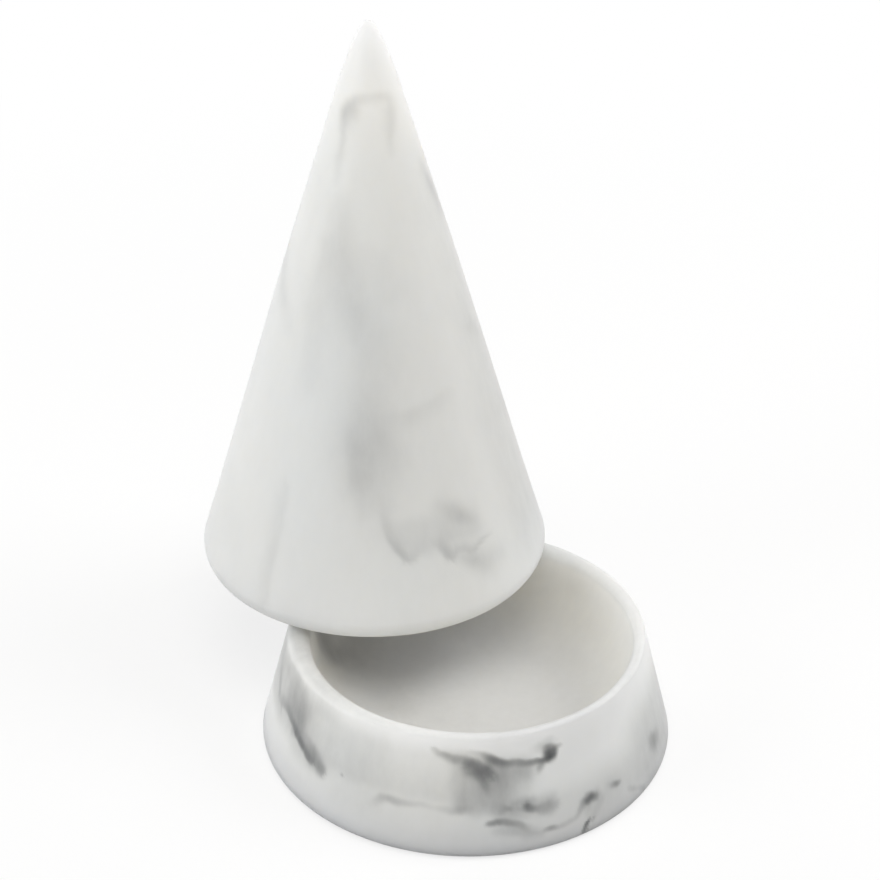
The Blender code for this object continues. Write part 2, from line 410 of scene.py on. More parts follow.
# The bowl, with its sizes in mm
bowlLow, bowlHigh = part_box("bowl_casting")
bowl = {
    "baseRadius": (bowlHigh.x - bowlLow.x) / 2.0 / mm,
    "foot": bowlLow.z / mm,
    "rim": bowlHigh.z / mm,
    "taper": 0.2615,            # radius lost for each mm of height
    "footRound": 0.5,
    "rimWide": 2.93,            # level part of the rim, on the cone's side
    "rimNarrow": 0.13,
    "lipOuterRound": 0.5,       # as the solid has it
    "lipInnerRound": 0.8,
    "lipSoft": (0.5, 1.7),      # outer round where the rim is narrow and where it is wide
    "lipInnerSoft": 1.8,        # inner round where the rim is wide
    "lipInnerGrows": (-0.7, 0.1),   # where it grows: 1 is the widest place, -1 the narrowest
    "levelLeast": 0.1,          # level rim kept between both rounds
    "draft": 9.0,               # degrees off vertical
    "cornerRound": 12.0,
    "floorThickness": 5.0,
    "recessRadius": 31.15,
    "recessDepth": 1.1,
    "around": 640,              # vertices in a ring
    "stir": ((6.0, 0.5), (2.0, 0.22), (0.8, 0.09)),     # (size of the swirls, how far they carry)
    "brush": {"wide": 1.45, "edge": 2.4},
    "inkStops": (18.8, 19.9),   # height at which the veins fade under the rim
    # (height, painted shade all over) from the foot to the rim: greyer low down, where less light reaches,
    # and darker on the rim
    "paintedShade": ((0.0, 0.0), (1.5, 0.03), (4.0, 0.09), (8.0, 0.08), (14.0, 0.04),
             (18.5, 0.0), (19.6, 0.0), (20.3, 0.25)),
    # painted shade in the cavity
    "cavityPaintedShade": 0.13,
    "cavityDeep": 2.0,          # mm below the rim, from where the cavity has its full painted shade and painted warm reflection
    "cavityStir": ((8.0, 1.6), (2.5, 0.6)),
    "lipWashStops": (17.5, 20.2),   # height at which the lip's painted shadow and painted light stop inside the cavity
    # between the rings of the mesh
    "steps": {"floor": 1.1, "corner": 0.9, "wall": 0.4, "lip": 0.12,
              "rim": 0.22, "side": 0.3, "under": 4.0},
}
bowlLeft = [
    {"path": [(193.0, 11.0, 0.5, 0.2), (197.0, 11.3, 0.6, 0.4), (200.0, 11.7, 0.6, 0.55),
              (203.0, 11.9, 0.5, 0.7), (205.5, 11.6, 0.5, 0.9), (207.5, 11.2, 0.4, 0.95),
              (209.5, 10.6, 0.4, 0.9), (211.0, 10.0, 0.45, 1.3), (213.5, 9.5, 0.5, 1.35),
              (216.0, 9.2, 0.55, 1.3), (218.5, 8.7, 0.5, 1.1), (219.8, 8.5, 0.5, 0.8)],
     "sides": (1.5, 0.8)},
    {"path": [(211.0, 10.9, 0.5, 0.4), (214.0, 10.9, 0.7, 0.4), (217.0, 10.8, 0.8, 0.45),
              (219.5, 10.2, 0.9, 0.75), (222.0, 9.6, 1.0, 0.55), (224.0, 8.7, 0.8, 0.6),
              (225.0, 8.0, 0.6, 0.6), (225.8, 7.7, 0.3, 0.2)]},
    {"path": [(220.0, 9.0, 1.0, 0.5), (223.0, 8.6, 0.9, 0.5)]},
    {"path": [(204.5, 18.4, 2.0, 0.28), (205.8, 16.2, 2.5, 0.46), (207.0, 13.6, 2.5, 0.64),
              (209.0, 11.4, 1.3, 0.7)]},
    {"path": [(211.5, 14.8, 0.9, 0.1), (212.0, 13.0, 1.0, 0.3), (211.5, 11.2, 0.9, 0.4)]},
    {"path": [(187.0, 15.4, 1.3, 0.14), (190.0, 13.2, 0.7, 0.40), (193.5, 11.8, 0.5, 0.4)]},
    {"path": [(198.3, 10.8, 0.4, 0.3), (198.9, 10.1, 0.35, 0.2)]},
]
bowlLeftWashes = [
    (199.5, 214.0, 11.9, 17.2, 1.6, 1.4, 0.42, 0.22),
    # painted shadow of the cone on the upper left wall, under its overhang
    (180.0, 200.0, 9.0, 19.0, 3.0, 2.0, 0.24, 0.26),
    (196.0, 228.0, 8.5, 18.5, 3.0, 2.0, 0.16, 0.14),
    (209.0, 217.0, 10.0, 17.0, 1.5, 1.5, 0.26, 0.20),
]
bowlLine = [
    {"path": [(232.4, 9.4, 0.2, 0.4), (232.5, 9.35, 0.2, 0.4)]},
    {"path": [(242.5, 6.8, 0.5, 0.06), (244.3, 7.8, 0.5, 0.2), (245.6, 8.4, 0.5, 0.32),
              (247.5, 8.65, 0.45, 0.4), (249.5, 8.55, 0.45, 0.36), (253.0, 8.6, 0.4, 0.25),
              (257.0, 8.55, 0.4, 0.16), (261.0, 8.4, 0.4, 0.1), (265.0, 8.4, 0.5, 0.2),
              (267.5, 8.5, 0.6, 0.32), (270.0, 8.6, 0.5, 0.2)]},
]
bowlCentre = [
    {"path": [(262.0, 17.6, 0.8, 0.08), (266.0, 17.0, 0.9, 0.22), (270.0, 16.4, 0.9, 0.22)]},
    {"path": [(260.2, 18.1, 0.35, 0.35), (262.0, 17.4, 0.45, 0.5), (264.0, 17.0, 0.5, 0.6),
              (266.0, 16.7, 0.6, 0.65), (268.0, 16.5, 0.6, 0.5), (270.0, 15.9, 0.8, 1.1),
              (272.0, 15.5, 1.05, 1.4), (274.0, 15.0, 1.05, 1.45), (275.6, 14.4, 0.75, 1.1),
              (276.5, 13.8, 0.4, 0.7)], "sides": (0.8, 1.1)},
    {"path": [(270.5, 17.7, 0.4, 0.25), (273.0, 17.6, 0.4, 0.45), (275.5, 17.1, 0.55, 1.0),
              (277.5, 16.7, 0.6, 1.3), (279.5, 16.35, 0.6, 1.2), (281.5, 16.05, 0.5, 0.95),
              (284.0, 15.9, 0.4, 0.8), (287.0, 15.6, 0.42, 0.85), (290.0, 15.45, 0.4, 0.9),
              (291.5, 15.25, 0.35, 1.1), (293.2, 15.2, 0.35, 1.15), (295.3, 15.5, 0.35, 1.0)],
     "sides": (0.7, 1.3)},
    {"path": [(293.2, 17.1, 0.45, 0.8), (293.3, 16.5, 0.5, 1.35), (293.3, 15.7, 0.5, 1.45)]},
    {"path": [(294.6, 17.0, 0.5, 0.9), (294.6, 16.3, 0.6, 1.45), (294.5, 15.7, 0.6, 1.45)]},
    {"path": [(295.8, 16.1, 0.45, 1.05), (296.2, 16.7, 0.45, 1.0), (297.8, 16.8, 0.3, 0.4)]},
    {"path": [(289.0, 17.2, 0.6, 0.1), (292.0, 17.6, 0.8, 0.35), (295.0, 18.1, 0.8, 0.3),
              (297.0, 17.9, 0.6, 0.15)]},
    {"path": [(293.5, 15.6, 0.5, 0.7), (291.6, 15.0, 0.5, 0.7), (290.8, 14.0, 0.4, 0.6),
              (290.4, 13.2, 0.3, 0.15)]},
    {"path": [(268.5, 15.6, 0.9, 0.35), (267.6, 13.4, 0.8, 0.24), (267.8, 11.0, 0.8, 0.2),
              (268.0, 9.2, 0.7, 0.3)], "sides": (1.0, 1.4)},
    {"path": [(275.5, 16.2, 0.35, 0.2), (276.8, 15.0, 0.35, 0.35), (278.0, 14.0, 0.35, 0.45),
              (278.5, 13.2, 0.3, 0.2)]},
    {"path": [(272.5, 14.2, 0.7, 0.5), (273.6, 13.3, 0.6, 0.7), (274.5, 12.4, 0.6, 0.65),
              (275.3, 11.6, 0.5, 0.5), (275.8, 10.6, 0.4, 0.2)]},
    {"path": [(269.5, 14.2, 0.8, 0.12), (269.3, 11.5, 0.8, 0.2), (269.5, 9.3, 0.8, 0.22)],
     "sides": (1.4, 0.8)},
    {"path": [(279.5, 14.8, 1.4, 0.50), (279.0, 12.4, 1.7, 0.44), (278.0, 10.0, 1.8, 0.26)]},
    {"path": [(286.0, 14.7, 1.3, 0.40), (286.6, 13.2, 1.0, 0.28), (286.4, 12.0, 0.7, 0.12)]},
    {"path": [(273.5, 13.4, 1.2, 0.35), (273.5, 11.0, 1.3, 0.28), (272.5, 9.0, 1.2, 0.20)]},
]
bowlCentreWashes = [
    (268.0, 286.0, 8.2, 15.4, 3.0, 1.6, 0.24, 0.32),
    (281.0, 290.0, 11.8, 15.4, 1.8, 2.0, 0.12, 0.28),
    (236.0, 304.0, 0.0, 8.9, 5.0, 0.8, 0.02, 0.04),
    (222.0, 270.0, 9.4, 18.0, 5.0, 1.4, 0.15, 0.12),
    (278.0, 294.5, 6.4, 9.2, 1.8, 1.0, 0.13, 0.18),
]
bowlLower = [
    {"path": [(278.0, 7.6, 0.6, 0.1), (280.5, 8.4, 0.45, 0.4), (281.5, 8.3, 0.35, 0.55),
              (283.0, 8.0, 0.4, 0.25), (285.0, 7.9, 0.4, 0.4), (286.5, 8.0, 0.5, 0.8),
              (288.5, 7.8, 0.45, 0.6), (290.5, 7.6, 0.7, 0.45), (293.0, 7.4, 0.9, 0.48),
              (295.0, 7.3, 0.6, 0.32), (296.0, 7.1, 0.4, 0.08)]},
    {"path": [(286.5, 9.1, 0.25, 0.35), (286.8, 8.5, 0.5, 0.95), (287.2, 8.1, 0.6, 0.75)]},
    {"path": [(290.5, 8.9, 0.8, 0.1), (293.5, 8.6, 0.8, 0.14)]},
    {"path": [(274.8, 5.9, 0.25, 0.2), (276.0, 6.1, 0.34, 0.85), (278.0, 6.4, 0.4, 0.9),
              (280.0, 6.2, 0.45, 0.8), (282.0, 5.8, 0.45, 0.7), (284.0, 5.3, 0.45, 0.5),
              (285.3, 4.7, 0.4, 0.3), (286.5, 4.1, 0.35, 0.12)]},
    {"path": [(278.0, 4.8, 0.7, 0.18), (282.0, 4.6, 0.8, 0.3), (286.0, 4.0, 0.8, 0.3),
              (289.5, 3.3, 0.6, 0.16)]},
    {"path": [(283.0, 9.0, 0.6, 0.3), (285.5, 9.2, 0.7, 0.35), (288.0, 9.2, 0.6, 0.3)]},
    {"path": [(275.0, 9.0, 0.8, 0.12), (279.0, 8.4, 0.8, 0.3), (283.0, 7.2, 0.7, 0.24),
              (286.0, 6.6, 0.6, 0.1)]},
]
bowlRight = [
    {"path": [(286.5, 3.9, 0.3, 0.1), (290.0, 3.5, 0.3, 0.16), (292.0, 3.8, 0.28, 0.65),
              (293.0, 3.9, 0.28, 0.65), (295.0, 3.6, 0.3, 0.26), (297.5, 3.6, 0.3, 0.22),
              (300.0, 3.9, 0.35, 0.22), (301.5, 4.5, 0.35, 0.3), (302.5, 5.3, 0.4, 0.42),
              (303.5, 6.0, 0.45, 0.65), (304.5, 6.1, 0.42, 1.3), (306.0, 6.4, 0.48, 1.5),
              (307.8, 6.2, 0.45, 0.85), (309.0, 6.2, 0.3, 0.25)]},
    {"path": [(303.8, 6.6, 0.3, 0.35), (305.0, 7.0, 0.4, 0.5), (306.3, 6.8, 0.4, 0.45)]},
    {"path": [(304.6, 5.4, 0.7, 0.25), (304.2, 4.0, 0.6, 0.14)]},
    {"path": [(312.8, 6.5, 0.35, 0.15), (314.0, 6.1, 0.45, 0.5), (315.5, 5.85, 0.4, 0.9),
              (317.0, 5.75, 0.3, 0.5)]},
    {"path": [(313.5, 6.4, 1.1, 0.12), (316.0, 6.0, 1.1, 0.12)]},
    {"path": [(308.0, 6.4, 0.7, 0.25), (309.0, 5.4, 0.8, 0.25), (307.5, 4.0, 0.8, 0.2),
              (305.5, 2.6, 0.6, 0.25)]},
    {"path": [(301.8, 1.0, 0.22, 1.2), (302.8, 1.7, 0.24, 1.4), (303.6, 2.3, 0.26, 1.9),
              (304.3, 2.7, 0.18, 1.5), (304.6, 3.3, 0.14, 0.4)]},
    {"path": [(302.8, 0.7, 0.16, 0.7), (303.5, 1.2, 0.16, 0.6), (304.2, 1.7, 0.16, 0.35)]},
    {"path": [(305.0, 2.0, 0.16, 0.2), (306.3, 2.9, 0.18, 0.5)]},
    {"path": [(334.5, 7.4, 0.9, 0.16), (336.3, 6.6, 1.1, 0.55), (338.5, 6.0, 1.2, 0.75),
              (341.0, 6.0, 1.1, 0.45)]},
    {"path": [(320.5, 3.4, 0.4, 0.2), (322.5, 3.0, 0.4, 0.3), (324.5, 2.4, 0.35, 0.2),
              (326.5, 1.5, 0.45, 0.35), (327.0, 1.0, 0.45, 0.35)]},
]
# painted shade, low down on the right side
bowlRightShade = [
    (304.0, 352.0, 0.5, 12.0, 6.0, 5.0, 0.24, 0.04),
    (326.0, 368.0, 0.5, 15.0, 6.0, 4.0, 0.30, 0.22),
]
# what is drawn again on the far side: (strokes, washes, turned by, mirrored, raised by, strength),
# in degrees and mm
bowlEchoes = [
    (bowlCentre + bowlLower, bowlCentreWashes, 330.0, True, 0.0, 0.9),
    (bowlLeft, bowlLeftWashes, -98.0, False, 1.2, 0.85),
    (bowlRight[:5], [], -152.0, False, 5.5, 0.9),
]
# painted shadow of the cone over the left of the lip and the wall under it, and painted light on the right
# where ink is below zero; they also cover the lip
lipShadeAndLight = [
    (166.0, 199.0, 8.0, 22.0, 3.0, 1.5, 0.06, 0.28),
    (197.0, 226.0, 17.0, 22.0, 4.0, 1.5, 0.20, 0.23),
    (209.5, 220.5, 6.5, 17.5, 2.0, 1.5, 0.14, 0.14),
    (222.0, 246.0, 5.0, 22.0, 4.0, 1.5, 0.06, 0.08),
    (288.0, 326.0, 9.0, 22.0, 4.0, 2.0, -0.04, -0.10),
]
# patches of painted shadow of the cone in the cavity, mostly on the left under it, and painted light where
# ink is below zero: (x, y, how wide, ink), in mm
cavityShadePatches = [
    (-24.9, 4.9, 2.9, 0.46), (-20.8, 7.4, 3.5, 0.20), (-17.5, 12.0, 3.8, 0.15),
    (-21.0, -6.5, 3.2, 0.20), (-16.0, -12.5, 2.8, 0.16), (-12.0, -4.0, 3.5, 0.12),
    (-9.0, -15.5, 2.2, 0.12), (-6.0, -8.0, 9.0, 0.07), (17.0, 15.0, 9.0, -0.07), (20.0, 9.0, 2.5, 0.05),
    (9.0, -12.0, 3.0, 0.05), (-2.0, 20.0, 4.0, 0.08),
]


def bowlOutline(b):
    lean = math.degrees(math.atan(b["taper"]))
    footCentre = (b["baseRadius"] - b["footRound"], b["foot"] + b["footRound"])
    lipHeight = b["rim"] - b["lipOuterRound"]
    lipCentre = (footCentre[0] - b["taper"] * (lipHeight - footCentre[1])
                 + (b["footRound"] - b["lipOuterRound"]) / math.cos(math.radians(lean)), lipHeight)
    mouth = lipCentre[0] - (b["rimWide"] + b["rimNarrow"]) / 2.0
    rollCentre = (mouth, b["rim"] - b["lipInnerRound"])
    draft = math.radians(b["draft"])
    wallTop = (rollCentre[0] - b["lipInnerRound"] * math.cos(draft),
               rollCentre[1] - b["lipInnerRound"] * math.sin(draft))
    floor = b["foot"] + b["floorThickness"]
    wallFoot = floor + b["cornerRound"] * (1.0 - math.sin(draft))
    corner = (wallTop[0] - (wallTop[1] - wallFoot) * math.tan(draft) - b["cornerRound"] * math.cos(draft),
              floor + b["cornerRound"])
    step = b["steps"]
    basin = [(0.0, floor)] + arc(corner, b["cornerRound"], -90.0, -b["draft"], step["corner"])
    basin = filled(basin, step["floor"])
    roll = arc(rollCentre, b["lipInnerRound"], 180.0 + b["draft"], 90.0, step["lip"])
    inside = basin + filled([basin[-1]] + roll, step["wall"])[1:]
    outside = arc(lipCentre, b["lipOuterRound"], 90.0, lean, step["lip"])
    outside += arc(footCentre, b["footRound"], lean, -90.0, step["lip"])
    rim = filled([inside[-1], outside[0]], step["rim"])[1:-1]
    roof = b["foot"] + b["recessDepth"]
    under = [outside[-1], (b["recessRadius"], b["foot"]), (b["recessRadius"], roof), (0.0, roof)]
    return inside, rim + filled(outside, step["side"]), filled(under, step["under"])[1:], mouth


def ontoArc(across, up, size, low, high):
    # how far to move points that stand beyond an arc of that size, between two angles, to lie on it
    angle = np.arctan2(up, across) % (2.0 * math.pi)
    reach = np.maximum(np.hypot(across, up), tiny)
    scale = np.where((angle >= low) & (angle <= high) & (reach > size), size / reach, 1.0) - 1.0
    return across * scale, up * scale


def spokes(places, axis, wideSide):
    # for each point its direction from the axis, its distance, and how squarely it faces the wide side
    out = places[:, :2] - np.array([axis.x, axis.y])
    radius = np.maximum(np.hypot(out[:, 0], out[:, 1]), tiny)
    return out / radius[:, None], radius, out @ wideSide / radius


def softenLip(piece, b, mouth, lipRadius, away):
    # both edges of the rim are rounder where the rim is wide
    places = placesOf(piece)
    lean = math.atan(b["taper"])
    draft = math.radians(b["draft"])
    turnOut = math.tan((math.pi / 2.0 - lean) / 2.0)
    turnIn = math.tan((math.pi / 2.0 - draft) / 2.0)
    wideSide = -np.array([away.x, away.y]) / away.length
    outward, radius, toWide = spokes(places, Vector((0.0, 0.0)), wideSide)
    low, high = b["lipSoft"]
    outerSize = low + (high - low) * np.minimum(1.0 + toWide, 1.0)
    corner = lipRadius + b["lipOuterRound"] * turnOut
    side, rise = ontoArc(radius - corner + outerSize * turnOut, places[:, 2] - b["rim"] + outerSize,
                         outerSize, lean, math.pi / 2.0)
    inward, reach, toWide = spokes(places, away, wideSide)
    width = (b["rimNarrow"] + (b["rimWide"] - b["rimNarrow"]) * (0.5 + 0.5 * toWide)
             + b["lipOuterRound"] * turnOut + b["lipInnerRound"] * turnIn)
    low, high = b["lipInnerRound"], b["lipInnerSoft"]
    innerSize = np.minimum(low + (high - low) * ramp(toWide, *b["lipInnerGrows"]),
                           (width - outerSize * turnOut - b["levelLeast"]) / turnIn)
    corner = mouth - b["lipInnerRound"] * turnIn
    sideIn, riseIn = ontoArc(reach - corner - innerSize * turnIn, places[:, 2] - b["rim"] + innerSize,
                             innerSize, math.pi / 2.0, math.pi + draft)
    places[:, :2] += outward * side[:, None] + inward * sideIn[:, None]
    places[:, 2] += rise + riseIn
    piece.data.vertices.foreach_set("co", (places * mm).ravel())
    piece.data.update()


def makeBowl(material):
    inside, outside, under, mouth = bowlOutline(bowl)
    away = coneCentre.xy.normalized() * -(bowl["rimWide"] - bowl["rimNarrow"]) / 2.0
    cavityFloor = inside[0][1]
    lipRadius = max(radius for radius, height in outside if height > bowl["rim"] - tiny)

    def offset(point):
        # the cavity's rings stand off the axis, and the level rim's go over to the outside's
        radius, height = point
        if height < cavityFloor - tiny or radius >= lipRadius:
            return (0.0, 0.0)
        if radius <= mouth + tiny:
            return away
        if height < bowl["rim"] - tiny:
            return (0.0, 0.0)
        return away * (lipRadius - radius) / (lipRadius - mouth)

    piece = turned("marbleBowl", inside + outside + under, bowl["around"], material, offset)
    softenLip(piece, bowl, mouth, lipRadius, away)
    # the cavity's rings come first, and they have patches of painted shadow in place of veins
    cavityCount = 1 + (len(inside) - 1) * bowl["around"]
    inkAndShade = np.zeros(len(piece.data.vertices))
    stirred = unrolled(piece, (0.0, 0.0), 0.0, bowl["cavityStir"], slice(0, cavityCount))[3]
    for x, y, size, dark in cavityShadePatches:
        apart = np.hypot(stirred[:, 0] - x, stirred[:, 1] - y)
        inkAndShade[:cavityCount] += dark * np.exp(-(apart / size) ** 2)
    strokes = bowlLeft + bowlLine + bowlCentre + bowlLower + bowlRight
    washes = bowlLeftWashes + bowlCentreWashes + bowlRightShade
    for echo in bowlEchoes:
        moreStrokes, moreWashes = echoed(*echo)
        strokes += moreStrokes
        washes += moreWashes
    turn, height, radius, _ = unrolled(piece, (0.0, 0.0), 0.0, bowl["stir"], slice(cavityCount, None))
    inkAndShade[cavityCount:] = sideInkAndShade(turn, height, radius, strokes, washes, bowl["brush"])
    inkAndShade[cavityCount:] *= 1.0 - ramp(height, *bowl["inkStops"])
    # painted shade: the body is made greyer towards the foot, on the rim and in the cavity
    heights, paintedShades = zip(*bowl["paintedShade"])
    turn, height, radius, _ = unrolled(piece, (0.0, 0.0), 0.0, (), slice(None))
    inkAndShade[cavityCount:] += np.interp(height[cavityCount:], heights, paintedShades)
    inCavity = np.arange(len(inkAndShade)) < cavityCount
    covered = np.where(inCavity, ramp(height, *bowl["lipWashStops"]), 1.0)
    # painted shadow of the cone on the left of the lip, painted light on its right
    for wash in lipShadeAndLight:
        inkAndShade += washInkShadeAndLight(turn, height, radius, wash) * covered
    inkAndShade = np.maximum(inkAndShade, 0.0)
    # painted shade and a painted warm reflection grow down into the cavity
    deep = np.where(inCavity, ramp(bowl["rim"] - height, 0.0, bowl["cavityDeep"]), 0.0)
    inkAndShade += np.where(inCavity, paintedShades[-1] + (bowl["cavityPaintedShade"] - paintedShades[-1]) * deep, 0.0)
    savePaint(piece, "inkAndShade", inkAndShade)
    savePaint(piece, "warm", deep)
    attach(piece, "bowl")
    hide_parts("bowl_casting")


# The cone, with its sizes in mm
coneLow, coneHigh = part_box("cone_casting")
coneCentre = (coneLow + coneHigh) / 2.0 / mm
cone = {
    "baseRadius": (coneHigh.x - coneLow.x) / 2.0 / mm,
    "foot": coneLow.z / mm,
    "top": coneHigh.z / mm,
    "footRound": 2.9,
    "tipRound": 1.1,
    "swells": ((0.8, 2), (0.5, 14)),    # how far the side stands out, and how close to the tip
    "recessRadius": 23.18,
    "recessDepth": 1.3,
    "around": 384,              # vertices in a ring
    "stir": ((12.0, 0.9), (4.0, 0.4), (1.4, 0.15)),
    "brush": {"wide": 1.05, "edge": 2.0},
    "paintedShade": (0.075, 0.02),      # painted shade all over, at the foot and at the tip; the lighter tip is painted light from above
    "tipLightAndWarmth": (70.0, 88.0),    # mm above the foot, where the tip's painted light and warmer colour begin and are full
    "sidePoints": 80,
    "sideSpread": 1.5,          # above 1, they lie closer near the tip
    # between the rings of the mesh
    "steps": {"tip": 0.15, "foot": 0.2, "side": 0.6, "under": 4.0},
}
coneUpper = [
    {"path": [(233.0, 80.3, 1.0, 0.08), (234.5, 82.0, 1.1, 0.20), (238.5, 83.3, 1.1, 0.27),
              (244.5, 84.1, 1.1, 0.27), (252.0, 84.9, 0.9, 0.18), (262.0, 85.4, 0.8, 0.13),
              (275.0, 85.6, 0.8, 0.10), (290.0, 85.7, 0.9, 0.12), (302.0, 85.6, 0.9, 0.10),
              (315.0, 84.6, 1.0, 0.04)], "sides": (0.8, 1.2)},
    {"path": [(234.5, 82.5, 0.9, 0.14), (235.0, 79.0, 0.8, 0.13), (234.5, 76.0, 0.8, 0.11),
              (234.0, 72.0, 0.8, 0.05)]},
    {"path": [(245.0, 82.6, 1.5, 0.13), (242.0, 81.0, 1.3, 0.06)]},
    {"path": [(308.0, 84.8, 0.8, 0.07), (304.0, 83.2, 1.1, 0.13), (300.0, 81.4, 1.0, 0.13),
              (297.5, 79.4, 0.8, 0.10), (295.0, 77.0, 0.8, 0.04)]},
]
coneMiddle = [
    {"path": [(244.0, 69.0, 2.0, 0.06), (249.0, 64.0, 2.7, 0.13), (254.0, 59.0, 3.4, 0.14),
              (262.0, 54.0, 3.8, 0.13), (270.0, 49.0, 4.0, 0.10), (272.0, 43.0, 4.2, 0.09),
              (271.0, 37.0, 4.8, 0.13), (269.0, 32.0, 4.8, 0.17), (270.0, 26.0, 4.4, 0.14),
              (273.0, 20.0, 4.0, 0.05)]},
    {"path": [(238.0, 62.0, 1.8, 0.08), (238.0, 54.0, 2.4, 0.09), (238.0, 48.0, 2.6, 0.08),
              (239.0, 42.0, 2.6, 0.05)]},
    {"path": [(276.0, 36.4, 1.8, 0.05), (290.0, 37.0, 1.5, 0.08), (303.0, 38.0, 1.3, 0.06),
              (310.0, 39.0, 1.2, 0.02)], "sides": (0.6, 1.6)},
    {"path": [(265.0, 34.5, 1.6, 0.06), (264.0, 31.0, 1.8, 0.16), (264.5, 27.5, 2.0, 0.16),
              (265.0, 24.0, 1.8, 0.05)], "sides": (1.8, 0.7)},
    {"path": [(275.0, 33.0, 3.0, 0.07), (279.0, 30.0, 3.2, 0.07)]},
    {"path": [(276.0, 61.0, 2.0, 0.04), (284.0, 56.0, 2.2, 0.04)]},
]
coneSides = [
    {"path": [(182.0, 58.5, 2.0, 0.08), (190.0, 56.5, 2.2, 0.14), (198.0, 54.0, 2.2, 0.13),
              (208.0, 51.5, 2.0, 0.10), (218.0, 49.0, 1.8, 0.04)]},
    {"path": [(338.0, 74.0, 1.2, 0.08), (345.0, 71.0, 1.4, 0.24), (350.0, 68.5, 1.5, 0.28),
              (354.0, 65.0, 1.6, 0.16)]},
    {"path": [(336.0, 47.5, 1.2, 0.04), (342.0, 46.5, 1.6, 0.12), (349.0, 45.5, 1.6, 0.12),
              (354.0, 44.0, 1.5, 0.05)]},
]
coneLower = [
    {"path": [(274.5, 22.5, 1.0, 0.06), (276.0, 19.5, 0.9, 0.15), (277.5, 17.2, 0.8, 0.22),
              (279.7, 15.3, 0.7, 0.27), (282.0, 14.2, 0.6, 0.27), (284.0, 13.8, 0.6, 0.22),
              (286.5, 14.2, 0.7, 0.14), (290.0, 15.3, 0.6, 0.05)], "sides": (1.8, 0.7)},
    {"path": [(294.0, 16.0, 0.7, 0.06), (296.5, 15.2, 0.7, 0.18), (298.3, 14.2, 0.7, 0.27),
              (299.8, 13.1, 0.7, 0.33), (301.2, 12.9, 0.6, 0.24), (303.0, 13.7, 0.6, 0.22),
              (306.0, 13.7, 0.6, 0.18), (308.0, 13.1, 0.7, 0.22), (309.6, 12.8, 0.6, 0.22),
              (312.0, 13.5, 0.5, 0.20), (315.0, 13.9, 0.4, 0.14), (318.0, 14.2, 0.4, 0.04)],
     "sides": (1.6, 0.8)},
    {"path": [(298.0, 21.6, 1.4, 0.10), (302.0, 20.4, 1.5, 0.22), (306.0, 19.0, 1.4, 0.24),
              (310.0, 18.0, 1.2, 0.12)]},
    {"path": [(305.0, 12.6, 1.0, 0.14), (309.0, 11.4, 1.5, 0.18), (314.0, 10.6, 1.8, 0.14),
              (320.0, 10.4, 1.8, 0.07)]},
    {"path": [(309.0, 11.4, 1.0, 0.12), (312.0, 9.6, 1.2, 0.12), (316.0, 7.8, 1.2, 0.04)]},
    {"path": [(234.0, 24.0, 1.4, 0.05), (234.0, 14.0, 1.5, 0.09), (234.5, 4.0, 1.5, 0.08)],
     "sides": (0.5, 1.2)},
]
coneLowerWashes = [
    (278.5, 313.0, 14.8, 20.5, 2.0, 1.6, 0.14, 0.08),
]
coneRightWash = (330.0, 366.0, 6.0, 76.0, 5.0, 8.0, 0.14, 0.14)
coneEchoes = [
    (coneLower[:4], coneLowerWashes, 372.0, True, 9.0, 1.1),
    (coneMiddle, [], 340.0, True, -6.0, 1.1),
    (coneLower[:3], coneLowerWashes, -130.0, False, 42.0, 0.9),
    (coneUpper[:2], [], -165.0, False, -4.0, 0.9),
    (coneSides, [], -190.0, False, -28.0, 1.0),
]


def onArc(centre, radius, angle):
    return centre[0] + radius * math.cos(angle), centre[1] + radius * math.sin(angle)


def coneOutline(c):
    tipCentre = (0.0, c["top"] - c["tipRound"])
    footCentre = (c["baseRadius"] - c["footRound"], c["foot"] + c["footRound"])
    across = footCentre[0] - tipCentre[0]
    rise = tipCentre[1] - footCentre[1]
    between = math.hypot(across, rise)
    lean = math.acos((c["tipRound"] - c["footRound"]) / between) - math.atan2(rise, across)
    # each swell is up^power (1 - up), scaled to its peak
    swells = [(size * (power + 1) ** (power + 1) / power ** power, power) for size, power in c["swells"]]
    tipLean = lean + sum(size for size, power in swells) / between
    top = onArc(tipCentre, c["tipRound"], tipLean)
    foot = onArc(footCentre, c["footRound"], lean)
    step = c["steps"]
    points = arc(tipCentre, c["tipRound"], 90.0, math.degrees(tipLean), step["tip"])
    for i in range(1, c["sidePoints"]):
        up = 1.0 - (i / c["sidePoints"]) ** c["sideSpread"]
        swell = sum(size * up ** power for size, power in swells) * (1.0 - up)
        points.append((foot[0] + (top[0] - foot[0]) * up + swell * math.cos(lean),
                       foot[1] + (top[1] - foot[1]) * up + swell * math.sin(lean)))
    points += arc(footCentre, c["footRound"], math.degrees(lean), -90.0, step["foot"])
    roof = c["foot"] + c["recessDepth"]
    under = [points[-1], (c["recessRadius"], c["foot"]), (c["recessRadius"], roof), (0.0, roof)]
    return filled(points, step["side"]) + filled(under, step["under"])[1:]


